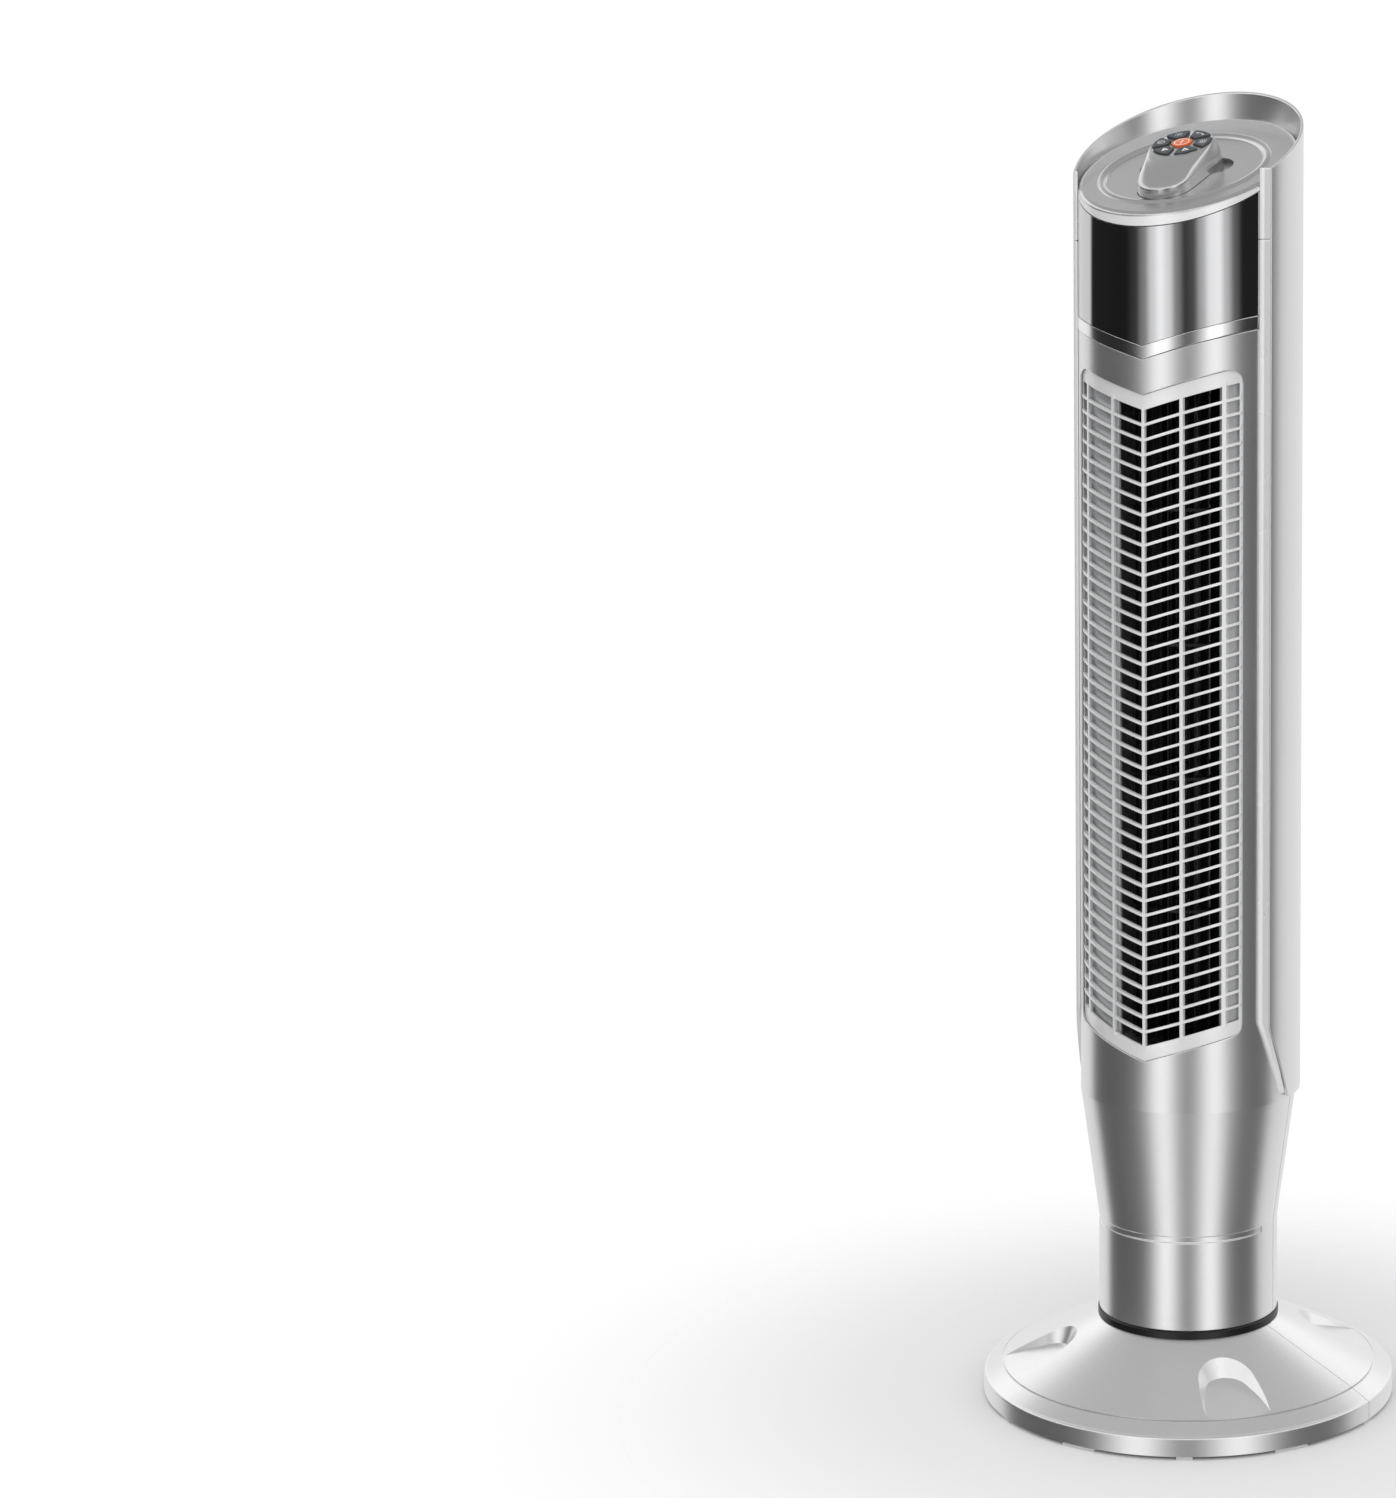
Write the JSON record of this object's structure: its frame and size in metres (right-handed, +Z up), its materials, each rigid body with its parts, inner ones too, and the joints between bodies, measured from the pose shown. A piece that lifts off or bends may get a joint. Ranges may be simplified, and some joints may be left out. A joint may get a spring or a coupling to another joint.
{
  "type": "tower fan",
  "caption": "Tower fan on a round swivelling base, with a chevron outlet grille, a tall rear cowl and a remote control docked in its sloping top.",
  "frame": {"origin": "on the floor, on the tower's turning axis, under the middle of the base", "axes": "+Z up along the turning axis, -Y out of the tower's front grille, +X to the fan's left hand side as a viewer in front sees its right"},
  "size_m": [0.35, 0.3504, 1.1027],
  "materials": {
    "silver_shell": "satin silver metallic paint on moulded plastic",
    "bright_trim": "bright satin silver paint",
    "duct_silver": "satin silver",
    "grey_deck": "satin grey metallic",
    "grey_remote": "satin grey metallic",
    "black_gloss": "polished black acrylic",
    "chrome": "bright plated",
    "black_plastic": "fine matt texture",
    "light_rubber": "matt light grey rubber",
    "slate_rubber": "matt slate rubber",
    "orange_rubber": "matt orange rubber",
    "mount_rubber": "matt",
    "steel": "bright zinc",
    "cast_iron": "as cast",
    "white_nylon": "natural nylon",
    "bronze": "sintered",
    "board_green": "solder mask",
    "capacitor_white": "smooth"
  },
  "bodies": {
    "base": {"base_front_shell": "silver_shell", "base_rear_shell": "silver_shell", "cord_grommet": "black_plastic", "base_bottom_plate": "black_plastic", "base_screws": "steel", "base_weight": "cast_iron", "rubber_feet": "light_rubber", "base_spindle": "white_nylon", "turntable_ring": "black_plastic", "turntable_bearing": "steel", "turntable_retaining_ring": "steel", "oscillation_gear": "white_nylon"},
    "tower": {"turntable_plate": "black_plastic", "oscillation_motor": "steel", "front_housing": "silver_shell", "rear_housing": "silver_shell", "rear_cowl": "silver_shell", "lower_trim_rail_left": "bright_trim", "upper_trim_rail_left": "bright_trim", "lower_trim_rail_right": "bright_trim", "upper_trim_rail_right": "bright_trim", "front_grille": "bright_trim", "rear_intake_grille": "black_plastic", "display_window": "black_gloss", "chrome_band": "chrome", "top_deck": "grey_deck", "scroll_casing": "duct_silver", "vortex_wall": "duct_silver", "motor_stator": "steel", "motor_case": "steel", "motor_rubber_mounts": "mount_rubber", "motor_mounting_plate": "white_nylon", "motor_shaft_bush": "bronze", "upper_bearing_plate": "white_nylon", "upper_shaft_bush": "bronze", "main_circuit_board": "board_green", "motor_capacitor": "capacitor_white", "display_circuit_board": "board_green", "infrared_receiver": "black_plastic", "ionizer_module": "black_plastic", "cowl_screws": "steel"},
    "impeller": {"impeller": "black_plastic", "impeller_shaft": "steel", "motor_rotor": "steel"},
    "pinion": {"oscillation_pinion": "white_nylon", "oscillation_motor_shaft": "steel"},
    "remote": {"remote_top_shell": "grey_remote", "remote_bottom_shell": "grey_remote", "remote_keypad_mat": "slate_rubber", "remote_circuit_board": "board_green", "remote_battery_cover": "grey_remote", "remote_coin_cell": "steel"},
    "power_button": {"power_button": "orange_rubber"},
    "timer_button": {"timer_button": "slate_rubber"},
    "ionizer_button": {"ionizer_button": "slate_rubber"},
    "oscillation_button": {"oscillation_button": "slate_rubber"},
    "mode_button": {"mode_button": "slate_rubber"},
    "plus_button": {"plus_button": "slate_rubber"},
    "minus_button": {"minus_button": "slate_rubber"}
  },
  "joints": [
    {"name": "oscillation", "type": "hinge", "parent": "base", "child": "tower", "pos_m": [0, 0, 0.0728], "axis": [0, 0, 1], "range_deg": [-42, 28]},
    {"name": "impeller_spin", "type": "hinge", "parent": "tower", "child": "impeller", "pos_m": [0, 0.01, 0.3], "axis": [0, 0, 1], "continuous": true},
    {"name": "pinion_spin", "type": "hinge", "parent": "tower", "child": "pinion", "pos_m": [0, 0.045, 0.08], "axis": [0, 0, 1], "range_deg": [-168, 112]},
    {"name": "remote_lift", "type": "slide", "parent": "tower", "child": "remote", "axis": [0, -0.4258, 0.9048], "range_m": [0, 0.06]},
    {"name": "power_press", "type": "slide", "parent": "remote", "child": "power_button", "axis": [0, 0.4258, -0.9048], "range_m": [0, 0.0011], "stiffness_N_per_m": 400},
    {"name": "timer_press", "type": "slide", "parent": "remote", "child": "timer_button", "axis": [0, 0.4258, -0.9048], "range_m": [0, 0.0011], "stiffness_N_per_m": 400},
    {"name": "ionizer_press", "type": "slide", "parent": "remote", "child": "ionizer_button", "axis": [0, 0.4258, -0.9048], "range_m": [0, 0.0011], "stiffness_N_per_m": 400},
    {"name": "oscillation_press", "type": "slide", "parent": "remote", "child": "oscillation_button", "axis": [0, 0.4258, -0.9048], "range_m": [0, 0.0011], "stiffness_N_per_m": 400},
    {"name": "mode_press", "type": "slide", "parent": "remote", "child": "mode_button", "axis": [0, 0.4258, -0.9048], "range_m": [0, 0.0011], "stiffness_N_per_m": 400},
    {"name": "plus_press", "type": "slide", "parent": "remote", "child": "plus_button", "axis": [0, 0.4258, -0.9048], "range_m": [0, 0.0011], "stiffness_N_per_m": 400},
    {"name": "minus_press", "type": "slide", "parent": "remote", "child": "minus_button", "axis": [0, 0.4258, -0.9048], "range_m": [0, 0.0011], "stiffness_N_per_m": 400}
  ],
  "couplings": [
    {"joint": "pinion_spin", "follows": "oscillation", "ratio": 4}
  ]
}
